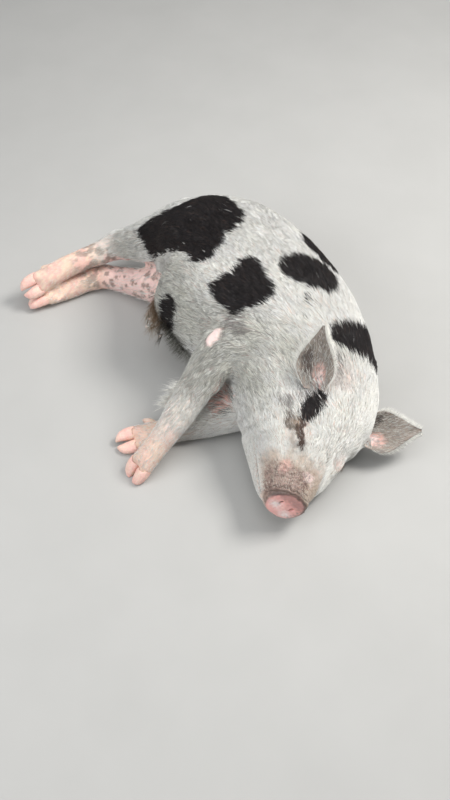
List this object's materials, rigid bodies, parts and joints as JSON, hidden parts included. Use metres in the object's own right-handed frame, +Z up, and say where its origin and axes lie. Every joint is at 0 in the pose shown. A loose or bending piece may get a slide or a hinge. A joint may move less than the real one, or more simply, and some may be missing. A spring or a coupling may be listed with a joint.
{
  "type": "domestic pig",
  "caption": "Life-size still model of a young spotted domestic pig asleep on its left side, for display on a floor.",
  "frame": {"origin": "point on the flat underside of the torso, at floor level, under the middle of the trunk", "axes": "+Z up from the floor the pig lies on; the back curves round the +X and +Y sides, the legs point to -X and the snout points to -Y"},
  "size_m": [0.7648, 0.67, 0.2729],
  "materials": {
    "hide": "white and grey bristly hide with black patches, pink where the hair is thin",
    "horn": "dull pink horn",
    "eye": "wet and dark, seen only through the slit of the lids"
  },
  "bodies": {
    "root": {"head": "hide", "neck": "hide", "torso": "hide", "tail": "hide", "ear_right": "hide", "ear_left": "hide", "eye_right": "eye", "eye_left": "eye", "shank_right": "hide", "hindfoot_right": "hide", "shank_left": "hide", "hindfoot_left": "hide", "forearm_right": "hide", "forefoot_right": "hide", "forearm_left": "hide", "forefoot_left": "hide", "claw_hind_right_outer": "horn", "claw_hind_right_inner": "horn", "claw_hind_left_outer": "horn", "claw_hind_left_inner": "horn", "claw_fore_right_outer": "horn", "claw_fore_right_inner": "horn", "claw_fore_left_outer": "horn", "claw_fore_left_inner": "horn"}
  },
  "joints": []
}
